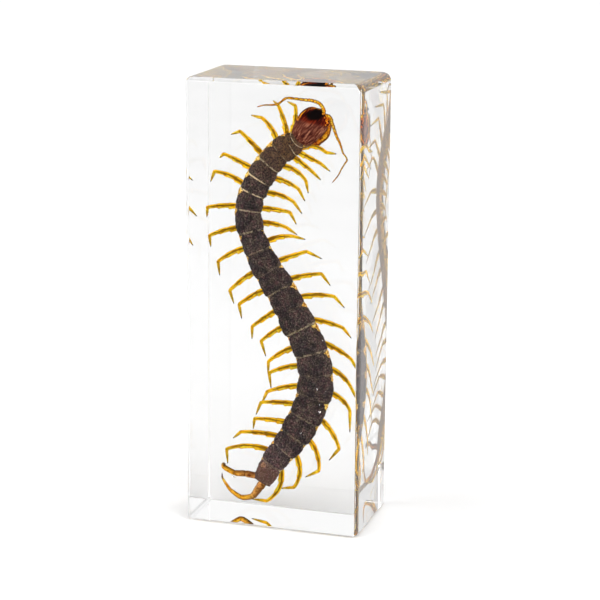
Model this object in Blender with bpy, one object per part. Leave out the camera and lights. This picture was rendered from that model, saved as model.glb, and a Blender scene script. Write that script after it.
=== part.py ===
"""A centipede cast in a clear resin block, standing upright.

Metres, +Z up. The block stands on its base at Z = 0, its wide front faces -Y, and X = Y = 0 is the
middle of the base. The centipede lies with its back to the front face, head up, in the middle plane.
Sizes in the lists are millimetres, given as (x, z) in the middle plane, and MM turns them to metres.
"""

import math

import bpy
import bmesh
import numpy as np

MM = 0.001

# Block
BLOCK_WIDTH = 43.4 * MM
BLOCK_DEPTH = 27.0 * MM
BLOCK_HEIGHT = 110.0 * MM
EDGE_ROUND = 1.0 * MM
EDGE_STEPS = 2
RESIN_INDEX = 1.56

# Fits: between the two halves, and between the animal and its pocket
PARTING_GAP = 0.3 * MM
POCKET_GAP = 0.3 * MM

# Trunk: a smooth line through these points, from the neck to the tail
SPINE = [(3.5, 94.8), (-1.0, 91.8), (-5.4, 86.0), (-8.2, 79.5), (-8.2, 73.5), (-5.0, 65.5), (-0.2, 58.0),
         (3.6, 51.2), (7.3, 44.0), (8.8, 36.5), (7.1, 29.0), (3.1, 21.3), (-1.9, 14.6), (-4.9, 8.9)]
SPINE_STEPS = 16
SPINE_REACH = 0.8

# Where each back plate ends, along the trunk from the neck, and the widths at places along it
PLATE_ENDS = [1.6, 4.9, 9.2, 13.6, 17.4, 21.9, 27.2, 32.3, 37.8, 43.0, 48.4, 53.8, 60.4, 65.6, 71.4,
              77.4, 82.9, 87.4, 92.6, 97.8]
WIDTH_PLACES = [-0.8, 2.0, 12.0, 20.0, 28.0, 38.0, 46.0, 60.0, 70.0, 78.0, 86.0, 92.0, 97.8]
WIDTHS = [4.4, 6.3, 6.7, 6.9, 6.8, 7.8, 8.4, 9.0, 9.0, 8.6, 7.3, 6.4, 4.7]
PLATE_PROFILE = [(0.04, 0.90), (0.42, 1.0), (0.94, 0.97)]
THICKNESS_PER_WIDTH = 0.62
TRUNK_SIDES = 12
TRUNK_ROOM_SIDES = 10
TRUNK_ROOM_RINGS = 24

# Head: from the neck to the brow, the share of its length, how far its middle lies to the right of the
# line between the two ends, half width and half thickness
HEAD_BACK = (3.5, 94.6)
HEAD_FRONT = (10.0, 101.8)
HEAD_SHAPE = [(0.0, -0.5, 1.7, 1.5), (0.12, -0.1, 2.6, 1.9), (0.27, 0.0, 3.4, 2.2), (0.66, -0.15, 3.7, 2.1),
              (0.86, -0.15, 3.2, 1.6), (0.95, -0.1, 2.2, 1.2), (1.04, 0.0, 0.8, 0.5)]
HEAD_SIDES = 12

# Poison claws, curving forward below the head: points (along the head, out from its middle), radius.
# The right one is spread wide, and the left one is folded in.
CLAW_PATH = [(0.05, 1.6, 1.0), (0.27, 3.3, 1.0), (0.46, 3.8, 0.9), (0.62, 4.0, 0.78), (0.78, 3.5, 0.6),
             (0.92, 2.3, 0.42), (1.02, 0.9, 0.2)]
CLAW_DEPTH = 1.6
CLAW_SPREAD = {"left": -0.8, "right": 1.0}

# Antennae: points and radii, from the brow to the tip
ANTENNA_LEFT = [(9.6, 100.8), (9.9, 103.1), (8.6, 104.4), (5.6, 104.8), (1.0, 105.0), (-0.9, 103.8),
                (-3.4, 103.2), (-6.4, 102.6)]
ANTENNA_RIGHT = [(10.0, 100.7), (11.9, 100.6), (12.9, 97.6), (14.0, 95.2), (15.0, 92.6), (15.9, 91.0),
                 (14.5, 88.7), (12.4, 85.4)]
ANTENNA_DEPTH = -0.2
ANTENNA_RADII = (0.52, 0.16)

# Walking legs: place of the hip along the trunk, knee (x, z), tip (x, z), how far the leg arches towards
# the head between hip and knee, and how much deeper than usual its knee and tip lie. LEG_DEPTHS are the
# usual depths of hip, knee and tip behind the trunk's middle.
LEFT_LEGS = [
    (1.2, 3.0, 103.3, 0.0, 103.7, 0.6, 0.0),
    (1.9, -1.2, 103.1, -3.6, 103.8, 0.3, 0.0),
    (4.4, -5.3, 100.0, -9.1, 100.0, 0.6, 0.0),
    (8.8, -10.8, 96.5, -14.2, 95.1, 0.2, 0.0),
    (12.7, -14.9, 90.8, -17.1, 89.2, 0.2, 0.0),
    (16.9, -17.3, 86.4, -19.4, 83.2, 0.7, 0.0),
    (21.5, -19.1, 77.5, -20.4, 74.4, 0.3, 0.0),
    (25.9, -18.6, 70.5, -19.4, 67.0, 0.4, 0.0),
    (30.6, -16.4, 64.2, -17.1, 60.0, 0.5, 0.0),
    (36.2, -13.4, 57.2, -13.4, 53.1, 0.3, 0.0),
    (41.2, -11.0, 53.9, -11.4, 49.5, 0.3, 0.0),
    (47.1, -7.6, 48.6, -8.7, 44.5, 0.1, 0.0),
    (51.5, -5.3, 45.1, -5.1, 40.4, 0.3, 0.0),
    (57.4, -3.4, 40.1, -4.5, 35.8, 0.4, 0.0),
    (63.1, -3.2, 37.2, -3.7, 32.4, 0.5, 0.0),
    (69.6, -3.7, 32.4, -6.2, 28.1, 0.4, 0.0),
    (75.4, -5.3, 29.5, -7.6, 25.2, 0.3, 0.0),
    (81.1, -6.9, 25.2, -8.3, 21.5, 0.2, 0.0),
    (85.8, -10.5, 21.4, -13.6, 18.5, 0.4, 0.0),
    (90.4, -14.2, 16.6, -15.0, 11.7, 0.7, 0.0),
]
RIGHT_LEGS = [
    (0.8, 10.4, 92.4, 12.7, 92.0, 1.2, 0.0),
    (1.4, 9.1, 89.7, 11.2, 87.7, 0.0, 0.0),
    (3.2, 7.2, 87.5, 8.9, 85.5, 0.1, 0.0),
    (7.7, 5.5, 85.3, 5.8, 82.1, 0.9, 0.0),
    (11.6, 3.7, 83.2, 5.0, 80.1, 0.4, 0.0),
    (16.2, 2.5, 80.0, 4.3, 77.0, 0.6, 0.0),
    (20.9, 1.6, 77.4, 2.9, 74.3, 0.2, 0.0),
    (25.4, 0.8, 73.6, 3.1, 71.8, 0.4, 0.0),
    (30.8, 2.4, 71.6, 5.2, 70.8, 0.5, 0.0),
    (36.6, 5.8, 68.1, 9.4, 66.3, 0.1, 0.0),
    (41.8, 9.6, 62.9, 11.6, 59.8, 0.2, 0.0),
    (46.7, 12.9, 57.5, 15.2, 54.6, 0.5, 0.0),
    (52.7, 15.2, 49.9, 17.0, 47.2, 0.3, 0.0),
    (58.6, 17.4, 42.2, 19.0, 38.6, 0.4, 0.0),
    (64.3, 17.5, 35.0, 19.0, 31.2, 0.7, 0.0),
    (69.4, 17.2, 29.3, 17.0, 23.4, 0.8, 0.0),
    (75.8, 14.6, 19.3, 11.8, 15.7, 0.7, 0.0),
    (81.5, 9.5, 13.1, 5.7, 10.7, 1.0, 0.0),
    (86.4, 2.8, 7.7, -0.9, 6.7, 1.4, 1.9),
    (91.9, -4.7, 2.9, -9.0, 2.6, 1.6, 4.0),
]
LEG_DEPTHS = {"left": (1.4, 0.2, 5.4), "right": (0.9, 1.6, 3.3)}
HIP_INSET = 1.0
THIGH_PLACES = [(0.0, 0.56), (0.36, 0.58), (0.72, 0.47)]
KNEE_RADIUS = 0.38
FOOT_PLACE = (0.55, 0.30)
TIP_RADIUS = 0.07
LEG_SIDES = 5
ROOM_SIDES = 4

# Last pair of legs, stouter, trailed behind: points (x, depth, z) and radii
LAST_LEG_LEFT = [(-4.6, 0.4, 10.2, 0.75), (-9.4, 0.6, 10.6, 0.66), (-12.2, 0.9, 10.4, 0.5),
                 (-15.1, 1.4, 11.5, 0.45), (-15.7, 3.4, 11.8, 0.36), (-15.5, 5.0, 11.1, 0.1)]
LAST_LEG_RIGHT = [(-3.6, 0.3, 10.4, 0.8), (-5.8, 1.2, 7.2, 0.8), (-8.2, 4.4, 4.0, 0.52),
                  (-11.7, 6.9, 2.8, 0.5), (-14.6, 6.6, 4.6, 0.36), (-16.4, 5.6, 7.6, 0.2),
                  (-16.4, 4.8, 9.2, 0.08)]

CHITIN_COLOUR = (0.085, 0.050, 0.035, 1.0)
RESIN_COLOUR = (0.95, 0.96, 0.97, 1.0)


def clear_scene():
    for old in list(bpy.data.objects):
        bpy.data.objects.remove(old, do_unlink=True)


def make_material(name, colour, roughness, transmission=0.0):
    material = bpy.data.materials.new(name)
    material.use_nodes = True
    shader = material.node_tree.nodes["Principled BSDF"]
    shader.inputs["Base Color"].default_value = colour
    shader.inputs["Roughness"].default_value = roughness
    shader.inputs["Metallic"].default_value = 0.0
    shader.inputs["Transmission Weight"].default_value = transmission
    if transmission > 0.0:
        shader.inputs["IOR"].default_value = RESIN_INDEX
    return material


def smooth_line(points, steps):
    """Points along a Catmull-Rom curve that passes through every given point."""
    given = np.array(points, dtype=float)
    first = 2.0 * given[0] - given[1]
    last = 2.0 * given[-1] - given[-2]
    ends = np.vstack([first, given, last])
    line = []
    for i in range(1, len(ends) - 2):
        a, b, c, d = ends[i - 1:i + 3]
        for step in range(steps):
            t = step / steps
            line.append(0.5 * (2.0 * b + (c - a) * t + (2.0 * a - 5.0 * b + 4.0 * c - d) * t ** 2
                               + (3.0 * b - a - 3.0 * c + d) * t ** 3))
    line.append(given[-1])
    return np.array(line)


class Spine:
    """The trunk's middle line, read by the distance from the neck in millimetres."""

    def __init__(self):
        self.line = smooth_line(SPINE, SPINE_STEPS)
        runs = np.hypot(*np.diff(self.line, axis=0).T)
        self.places = np.concatenate([[0.0], np.cumsum(runs)])

    def point(self, place):
        inside = min(max(place, 0.0), self.places[-1])
        x = np.interp(inside, self.places, self.line[:, 0])
        z = np.interp(inside, self.places, self.line[:, 1])
        return np.array([x, z]) + (place - inside) * self.along(inside)

    def along(self, place):
        low = min(max(place - SPINE_REACH, 0.0), self.places[-1] - SPINE_REACH)
        high = max(min(place + SPINE_REACH, self.places[-1]), SPINE_REACH)
        step = [np.interp(high, self.places, self.line[:, i]) - np.interp(low, self.places, self.line[:, i])
                for i in (0, 1)]
        return np.array(step) / math.hypot(*step)

    def right(self, place):
        """Unit vector to the picture's right of the trunk, seen from the front."""
        x, z = self.along(place)
        return np.array([-z, x])


def half_width(place):
    return 0.5 * np.interp(place, WIDTH_PLACES, WIDTHS)


def ring_mesh(name, rings):
    """One closed skin over rings of equal count, with each end a flat cap."""
    mesh = bmesh.new()
    loops = [[mesh.verts.new(point) for point in ring] for ring in rings]
    count = len(rings[0])
    for near, far in zip(loops, loops[1:]):
        for i in range(count):
            j = (i + 1) % count
            mesh.faces.new((near[i], near[j], far[j], far[i]))
    mesh.faces.new(list(reversed(loops[0])))
    mesh.faces.new(loops[-1])
    bmesh.ops.recalc_face_normals(mesh, faces=mesh.faces)
    data = bpy.data.meshes.new(name)
    mesh.to_mesh(data)
    mesh.free()
    return bpy.data.objects.new(name, data)


def oval_ring(centre, out, half_out, half_deep, sides):
    """A ring round centre: half_out along the direction out, half_deep along Y."""
    ring = []
    for i in range(sides):
        angle = 2.0 * math.pi * (i + 0.5) / sides
        across = half_out * math.cos(angle)
        deep = half_deep * math.sin(angle)
        point = np.array(centre) + (out[0] * across, deep, out[1] * across)
        ring.append(tuple(point * MM))
    return ring


def tube(name, points, radii, sides, grow=0.0, stretch=0.0):
    """A tapering tube along points (x, depth, z). Its rings halve each bend and don't twist."""
    path = np.array(points, dtype=float)
    steps = np.diff(path, axis=0)
    steps /= np.linalg.norm(steps, axis=1)[:, None]
    path[0] -= steps[0] * stretch
    path[-1] += steps[-1] * stretch
    heads = np.vstack([steps[0], steps[1:] + steps[:-1], steps[-1]])
    heads /= np.linalg.norm(heads, axis=1)[:, None]
    fit = 1.0 / math.cos(math.pi / sides) if grow > 0.0 else 1.0
    rings = []
    side = np.cross(heads[0], (0.0, 1.0, 0.0))
    for centre, head, radius in zip(path, heads, radii):
        side = side - head * np.dot(side, head)
        side /= np.linalg.norm(side)
        lift = np.cross(side, head)
        size = (radius + grow) * fit
        ring = []
        for i in range(sides):
            angle = 2.0 * math.pi * (i + 0.5) / sides
            point = centre + size * (math.cos(angle) * side + math.sin(angle) * lift)
            ring.append(tuple(point * MM))
        rings.append(ring)
    return ring_mesh(name, rings)


def leg_path(spine, row, side, depths):
    """Centre line and radii of a walking leg: an arch from hip to knee, then straight to the tip."""
    place, knee_x, knee_z, tip_x, tip_z, arch, deeper = row
    hip_depth, knee_depth, tip_depth = depths
    hip = spine.point(place) + side * spine.right(place) * (half_width(place) - HIP_INSET)
    hip = np.array([hip[0], hip_depth, hip[1]])
    knee = np.array([knee_x, knee_depth + deeper, knee_z])
    tip = np.array([tip_x, tip_depth + deeper, tip_z])
    chord = knee - hip
    upward = side * np.array([-chord[2], 0.0, chord[0]]) / math.hypot(chord[0], chord[2])
    points = []
    radii = []
    for t, radius in THIGH_PLACES:
        points.append(hip + chord * t + upward * arch * 4.0 * t * (1.0 - t))
        radii.append(radius)
    foot_share, foot_radius = FOOT_PLACE
    points += [knee, knee + (tip - knee) * foot_share, tip]
    radii += [KNEE_RADIUS, foot_radius, TIP_RADIUS]
    return points, radii


def antenna_path(flat_points):
    last = len(flat_points) - 1
    thick, thin = ANTENNA_RADII
    points = [(x, ANTENNA_DEPTH, z) for x, z in flat_points]
    radii = [thick + (thin - thick) * i / last for i in range(last + 1)]
    return points, radii


def head_frame():
    back = np.array(HEAD_BACK)
    axis = np.array(HEAD_FRONT) - back
    length = math.hypot(*axis)
    axis /= length
    return back, axis, np.array([axis[1], -axis[0]]), length


def claw_path(spread):
    back, axis, right, length = head_frame()
    points = []
    radii = []
    for t, out, radius in CLAW_PATH:
        x, z = back + axis * length * t + right * out * spread
        points.append((x, CLAW_DEPTH, z))
        radii.append(radius)
    return points, radii


def make_head(name, grow=0.0):
    back, axis, right, length = head_frame()
    fit = 1.0 / math.cos(math.pi / HEAD_SIDES) if grow > 0.0 else 1.0
    rings = []
    last = len(HEAD_SHAPE) - 1
    for i, (t, aside, wide, deep) in enumerate(HEAD_SHAPE):
        push = grow * {0: -1.0, last: 1.0}.get(i, 0.0)
        x, z = back + axis * (length * t + push) + right * aside
        rings.append(oval_ring((x, 0.0, z), right, (wide + grow) * fit, (deep + grow) * fit, HEAD_SIDES))
    return ring_mesh(name, rings)


def make_trunk(name, spine):
    """Overlapping back plates: each one starts narrow, swells, and ends in a small step."""
    ends = [WIDTH_PLACES[0]] + PLATE_ENDS
    rings = []
    for start, end in zip(ends, ends[1:]):
        for t, swell in PLATE_PROFILE:
            place = start + (end - start) * t
            x, z = spine.point(place)
            wide = half_width(place) * swell
            deep = wide * THICKNESS_PER_WIDTH
            rings.append(oval_ring((x, 0.0, z), spine.right(place), wide, deep, TRUNK_SIDES))
    return ring_mesh(name, rings)


def make_trunk_room(name, spine, grow):
    """The room for the trunk: one smooth sleeve round every plate."""
    fit = 1.0 / math.cos(math.pi / TRUNK_ROOM_SIDES)
    rings = []
    for place in np.linspace(WIDTH_PLACES[0] - 2.0 * grow, PLATE_ENDS[-1] + grow, TRUNK_ROOM_RINGS):
        x, z = spine.point(place)
        wide = (half_width(place) + grow) * fit
        deep = (half_width(place) * THICKNESS_PER_WIDTH + grow) * fit
        rings.append(oval_ring((x, 0.0, z), spine.right(place), wide, deep, TRUNK_ROOM_SIDES))
    return ring_mesh(name, rings)


def limb_list(spine):
    """Name, points and radii of every leg, antenna and poison claw."""
    limbs = []
    for side, label, rows in ((-1.0, "left", LEFT_LEGS), (1.0, "right", RIGHT_LEGS)):
        for number, row in enumerate(rows, start=1):
            limbs.append((f"leg_{label}_{number}", *leg_path(spine, row, side, LEG_DEPTHS[label])))
    for label, rows in (("left", LAST_LEG_LEFT), ("right", LAST_LEG_RIGHT)):
        limbs.append((f"last_leg_{label}", [row[:3] for row in rows], [row[3] for row in rows]))
    for label, flat in (("left", ANTENNA_LEFT), ("right", ANTENNA_RIGHT)):
        limbs.append((f"antenna_{label}", *antenna_path(flat)))
    for label, spread in CLAW_SPREAD.items():
        limbs.append((f"claw_{label}", *claw_path(spread)))
    return limbs


def guide_group(name, guides):
    """Shapes that only add to or cut from a piece: kept out of the model themselves."""
    group = bpy.data.collections.new(name)
    bpy.context.scene.collection.children.link(group)
    for guide in guides:
        guide.hide_render = True
        guide.display_type = "WIRE"
        group.objects.link(guide)
    return group


def boolean(piece, name, operation, group=None, tool=None):
    modifier = piece.modifiers.new(name, "BOOLEAN")
    modifier.operation = operation
    modifier.solver = "EXACT"
    if group is not None:
        modifier.operand_type = "COLLECTION"
        modifier.collection = group
    else:
        modifier.object = tool


def make_centipede(spine, material):
    body = make_trunk("centipede", spine)
    limbs = [tube(f"add_{name}", points, radii, LEG_SIDES) for name, points, radii in limb_list(spine)]
    limbs.append(make_head("add_head"))
    boolean(body, "limbs", "UNION", group=guide_group("centipede_limbs", limbs))
    body.data.materials.append(material)
    bpy.context.scene.collection.objects.link(body)
    return body


def make_pocket(spine):
    """The animal's own shapes, grown by the gap, to cut from both halves."""
    grow = POCKET_GAP / MM
    rooms = [tube(f"room_{name}", points, radii, ROOM_SIDES, grow, grow)
             for name, points, radii in limb_list(spine)]
    rooms.append(make_head("room_head", grow))
    rooms.append(make_trunk_room("room_trunk", spine, grow))
    return guide_group("pocket", rooms)


def rounded_block(name):
    mesh = bmesh.new()
    bmesh.ops.create_cube(mesh, size=1.0)
    for vert in mesh.verts:
        vert.co.x *= BLOCK_WIDTH
        vert.co.y *= BLOCK_DEPTH
        vert.co.z = (vert.co.z + 0.5) * BLOCK_HEIGHT
    bmesh.ops.bevel(mesh, geom=list(mesh.edges), offset=EDGE_ROUND, offset_type="OFFSET",
                    segments=EDGE_STEPS, profile=0.5, affect="EDGES")
    data = bpy.data.meshes.new(name)
    mesh.to_mesh(data)
    mesh.free()
    return bpy.data.objects.new(name, data)


def half_space(name, side):
    """A box that takes away everything on one side of the parting plane."""
    room = 2.0 * BLOCK_HEIGHT
    mesh = bmesh.new()
    bmesh.ops.create_cube(mesh, size=1.0)
    for vert in mesh.verts:
        vert.co *= room
        vert.co.y += side * 0.5 * (room - PARTING_GAP)
    data = bpy.data.meshes.new(name)
    mesh.to_mesh(data)
    mesh.free()
    box = bpy.data.objects.new(name, data)
    guide_group(f"{name}_guide", [box])
    return box


def make_half(name, cut_side, pocket, material):
    half = rounded_block(name)
    boolean(half, "parting", "DIFFERENCE", tool=half_space(f"cut_{name}", cut_side))
    boolean(half, "pocket", "DIFFERENCE", group=pocket)
    half.data.materials.append(material)
    bpy.context.scene.collection.objects.link(half)
    return half


def main():
    clear_scene()
    spine = Spine()
    chitin = make_material("chitin", CHITIN_COLOUR, 0.55)
    resin = make_material("resin", RESIN_COLOUR, 0.02, transmission=1.0)
    make_centipede(spine, chitin)
    pocket = make_pocket(spine)
    make_half("resin_block_front", 1.0, pocket, resin)
    make_half("resin_block_back", -1.0, pocket, resin)


main()
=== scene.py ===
import math

import bpy
import numpy as np
from mathutils import Matrix


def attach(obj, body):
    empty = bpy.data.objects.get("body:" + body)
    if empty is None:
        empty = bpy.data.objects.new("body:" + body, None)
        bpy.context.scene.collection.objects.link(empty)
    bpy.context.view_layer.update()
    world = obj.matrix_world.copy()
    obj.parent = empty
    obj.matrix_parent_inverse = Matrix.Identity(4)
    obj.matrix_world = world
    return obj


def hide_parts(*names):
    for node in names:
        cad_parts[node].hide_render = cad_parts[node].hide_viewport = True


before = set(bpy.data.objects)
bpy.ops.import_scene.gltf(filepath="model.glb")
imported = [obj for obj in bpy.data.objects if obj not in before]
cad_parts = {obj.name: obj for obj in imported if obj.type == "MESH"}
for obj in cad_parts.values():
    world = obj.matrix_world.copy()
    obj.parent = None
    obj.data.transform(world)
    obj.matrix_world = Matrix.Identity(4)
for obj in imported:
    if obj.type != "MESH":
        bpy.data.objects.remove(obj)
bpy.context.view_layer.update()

scene = bpy.context.scene
mm = 0.001  # every size below is in millimetres, in the frame's own axes

# The block stands on z = 0, its wide front looks along -Y, and the animal lies in the plane y = 0
# with its back to the front. "Along the trunk" is counted from the neck.
forwards = np.array([0.0, -1.0, 0.0])
unrepeated = 2.4  # a turn in radians that gives neighbouring parts unlike sines

print("camera")
camera = {
    "turn": 17.033,  # degrees round the block to the viewer's right
    "rise": 13.732,  # degrees above the horizon
    "roll": 0.438,
    "distance": 485.04,
    "aside": (2.842, -0.339),
    "aim": 55.0,  # height that it looks at
    "lens": 118.88, "sensor": 36.0,
    "clip": (0.01, 50.0),  # metres
}


def addObject(name, data):
    made = bpy.data.objects.new(name, data)
    scene.collection.objects.link(made)
    return made


def placeCamera(c):
    # back, right and up are the camera's own axes, turned about the vertical, tipped and then rolled
    turn, rise, roll = (math.radians(c[k]) for k in ("turn", "rise", "roll"))
    back = np.array([math.sin(turn) * math.cos(rise), -math.cos(turn) * math.cos(rise), math.sin(rise)])
    level = np.array([math.cos(turn), math.sin(turn), 0.0])
    upright = np.cross(back, level)
    right = level * math.cos(roll) + upright * math.sin(roll)
    up = upright * math.cos(roll) - level * math.sin(roll)
    aside, above = c["aside"]
    spot = np.array([0.0, 0.0, c["aim"]]) + back * c["distance"] + right * aside + up * above
    data = bpy.data.cameras.new("camera")
    data.lens = c["lens"]
    data.sensor_width = c["sensor"]
    data.clip_start, data.clip_end = c["clip"]
    made = addObject("camera", data)
    rows = [[right[i], up[i], back[i], spot[i] * mm] for i in range(3)]
    made.matrix_world = Matrix(rows + [[0, 0, 0, 1]])
    scene.camera = made


placeCamera(camera)


# Curves and grids

def smoothThrough(points, steps):
    # Cubic spans through every given point, each end leaning the way its two neighbours point
    given = np.array(points, dtype=float)
    padded = np.vstack([2.0 * given[0] - given[1], given, 2.0 * given[-1] - given[-2]])
    a, b, c, d = (padded[i:len(padded) - 3 + i, None] for i in range(4))
    t = (np.arange(steps) / steps)[None, :, None]
    line = 0.5 * (2.0 * b + (c - a) * t + (2.0 * a - 5.0 * b + 4.0 * c - d) * t ** 2
                  + (3.0 * b - a - 3.0 * c + d) * t ** 3)
    return np.vstack([line.reshape(-1, given.shape[1]), given[-1]])


def unit(vectors):
    return vectors / np.linalg.norm(vectors, axis=-1, keepdims=True)


def smoothStep(value, low, high):
    t = np.clip((value - low) / (high - low), 0.0, 1.0)
    return t * t * (3.0 - 2.0 * t)


def peak(value, middle, width):
    return np.exp(-((value - middle) / width) ** 2)


def ripple(value, waves):
    # Sines added up, each with its rate, height and start
    return sum(height * np.sin(rate * value + start) for rate, height, start in waves)


def circle(sides):
    return 2.0 * math.pi * np.arange(sides) / sides


def section(sides, square=1.0):
    # Across and towards the viewer round a ring: sign(cos a) * |cos a|^square, and sin a
    angle = circle(sides)
    return np.sign(np.cos(angle)) * np.abs(np.cos(angle)) ** square, np.sin(angle)


def ringsRound(centre, side, out, deep):
    # Rings of points: centre + out * side + deep * forwards
    return centre[..., None, :] + out[..., None] * side[..., None, :] + deep[..., None] * forwards


def carried(paths, reach, sides, flat=1.0, dip=None):
    # A round profile carried along each path: centre + reach * (cos a * side + sin a * lift), where side
    # is along x Y and lift is along x side. dip swells the half of the ring where cos a is negative, or
    # the other half where dip is below zero
    angle = circle(sides)
    along = unit(np.gradient(paths, axis=-2))
    side = unit(np.cross(along, (0.0, 1.0, 0.0)))
    lift = np.cross(along, side)
    across = np.cos(angle)
    size = reach[..., None] * np.ones(sides)
    if dip is not None:
        swollen = np.clip(-across * np.sign(dip)[..., None], 0.0, 1.0)
        size = size * (1.0 + np.abs(dip)[..., None] * swollen)
    ring = across[:, None] * side[..., None, :] + flat * np.sin(angle)[:, None] * lift[..., None, :]
    return paths[..., None, :] + size[..., None] * ring


def skin(name, grids, material, layers=None, replaced=("centipede",)):
    # Closed tubes from grids of points (tube, ring, side): a face between each ring and the next,
    # and one flat cap on each end ring. A layer with one dimension has a value for each ring
    tubes, rings, sides = grids.shape[:3]
    index = np.arange(tubes * rings * sides).reshape(tubes, rings, sides)
    following = np.roll(index, -1, axis=2)
    walls = np.stack([index[:, :-1], following[:, :-1], following[:, 1:], index[:, 1:]], axis=-1)
    faces = walls.reshape(-1, 4).tolist() + index[:, 0, ::-1].tolist() + index[:, -1].tolist()
    mesh = bpy.data.meshes.new(name)
    mesh.from_pydata((grids.reshape(-1, 3) * mm).tolist(), [], faces)
    for layer, values in (layers or {}).items():
        field = mesh.attributes.new(layer, "FLOAT", "POINT")
        values = values[:, None] if np.ndim(values) == 1 else values
        spread = np.broadcast_to(values, (tubes, rings, sides)).astype(np.float32)
        field.data.foreach_set("value", spread.ravel())
    mesh.shade_smooth()
    mesh.materials.append(material)
    mesh.update()
    piece = addObject(name, mesh)
    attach(piece, "root")
    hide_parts(*replaced)
    print(f"{name}: {len(mesh.polygons)} faces")
    return piece


# Materials

def startMaterial(name):
    material = bpy.data.materials.new(name)
    material.use_nodes = True
    return material, material.node_tree, material.node_tree.nodes["Principled BSDF"]


def setInputs(tree, node, inputs):
    # A socket is linked, and a plain value is set
    for key, value in inputs.items():
        if isinstance(value, bpy.types.NodeSocket):
            tree.links.new(value, node.inputs[key])
        else:
            node.inputs[key].default_value = value


def addNode(tree, kind, inputs=None, **settings):
    made = tree.nodes.new("ShaderNode" + kind)
    for key, value in settings.items():
        setattr(made, key, value)
    setInputs(tree, made, inputs or {})
    return made


def readLayer(tree, layer):
    return addNode(tree, "Attribute", attribute_name=layer).outputs["Fac"]


def coordinates(tree):
    return addNode(tree, "TexCoord").outputs["Object"]


def noise(tree, scale, detail=3.0, rough=0.55, vector=None):
    # scale is in bumps per millimetre
    return addNode(tree, "TexNoise", {
        "Vector": vector or coordinates(tree), "Scale": scale / mm, "Detail": detail, "Roughness": rough,
    }).outputs["Fac"]


def ramp(tree, factor, stops, smooth=True):
    made = addNode(tree, "ValToRGB", {"Fac": factor})
    made.color_ramp.interpolation = "EASE" if smooth else "LINEAR"
    while len(made.color_ramp.elements) < len(stops):
        made.color_ramp.elements.new(0.5)
    for element, (place, colour) in zip(made.color_ramp.elements, stops):
        element.position = place
        element.color = (*colour, 1.0) if isinstance(colour, tuple) else (colour, colour, colour, 1.0)
    return made.outputs["Color"]


def between(tree, value, low, high):
    # 0 below low, 1 above high, eased between. With low above high it falls instead
    return addNode(tree, "MapRange", {
        "Value": value, "From Min": low, "From Max": high,
    }, interpolation_type="SMOOTHSTEP").outputs["Result"]


def sums(tree, operation, a, b=0.0):
    return addNode(tree, "Math", {0: a, 1: b}, operation=operation).outputs["Value"]


def times(tree, a, b):
    return sums(tree, "MULTIPLY", a, b)


def plus(tree, a, b):
    return sums(tree, "ADD", a, b)


def stray(tree, pattern, amount):
    # A noise moved to about zero, which makes an edge wander when it is added
    return times(tree, sums(tree, "SUBTRACT", pattern, 0.5), amount)


def bump(tree, height, strength, distance):
    # distance is in millimetres
    return addNode(tree, "Bump", {
        "Height": height, "Strength": strength, "Distance": distance * mm,
    }).outputs["Normal"]


print("trunk line")
trunk = {
    # x and z of its middle line, from the neck to the tail
    "spine": [(3.5, 94.8), (-1.0, 91.8), (-5.4, 86.0), (-8.2, 79.5), (-8.2, 73.5), (-5.0, 65.5),
              (-0.2, 58.0), (3.6, 51.2), (7.3, 44.0), (8.8, 36.5), (7.1, 29.0), (3.1, 21.3), (-1.9, 14.6),
              (-4.9, 8.9)],
    "spans": 16,
    "reach": 0.8,  # how far on each side its direction is read
    "start": -0.8,
    "plateEnds": [1.6, 4.9, 9.2, 13.6, 17.4, 21.9, 27.2, 32.3, 37.8, 43.0, 48.4, 53.8, 60.4, 65.6, 71.4,
                  77.4, 82.9, 87.4, 92.6, 97.8],
    "widthPlaces": [-0.8, 2.0, 12.0, 20.0, 28.0, 38.0, 46.0, 60.0, 70.0, 78.0, 86.0, 92.0, 97.8],
    "widths": [4.4, 6.3, 6.7, 6.9, 6.8, 7.8, 8.4, 9.0, 9.0, 8.6, 7.3, 6.4, 4.7],
    "thickness": 0.62,  # of the width
}
spineLine = smoothThrough(np.insert(trunk["spine"], 1, 0.0, axis=1), trunk["spans"])
spineRuns = np.insert(np.cumsum(np.linalg.norm(np.diff(spineLine, axis=0), axis=1)), 0, 0.0)
spineLength = spineRuns[-1]
plateEnds = np.array(trunk["plateEnds"])
plateStarts = np.concatenate([[trunk["start"]], plateEnds[:-1]])


def onSpine(places):
    # Points of the middle line at those distances, and the unit directions to its right
    def read(at):
        return np.stack([np.interp(at, spineRuns, spineLine[:, i]) for i in range(3)], axis=-1)

    inside = np.clip(places, 0.0, spineLength)
    low = np.clip(places - trunk["reach"], 0.0, spineLength - trunk["reach"])
    high = np.clip(places + trunk["reach"], trunk["reach"], spineLength)
    along = unit(read(high) - read(low))
    return read(inside) + (places - inside)[..., None] * along, np.cross(forwards, along)


def halfWidth(places):
    return 0.5 * np.interp(places, trunk["widthPlaces"], trunk["widths"])


# Back plates

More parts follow.
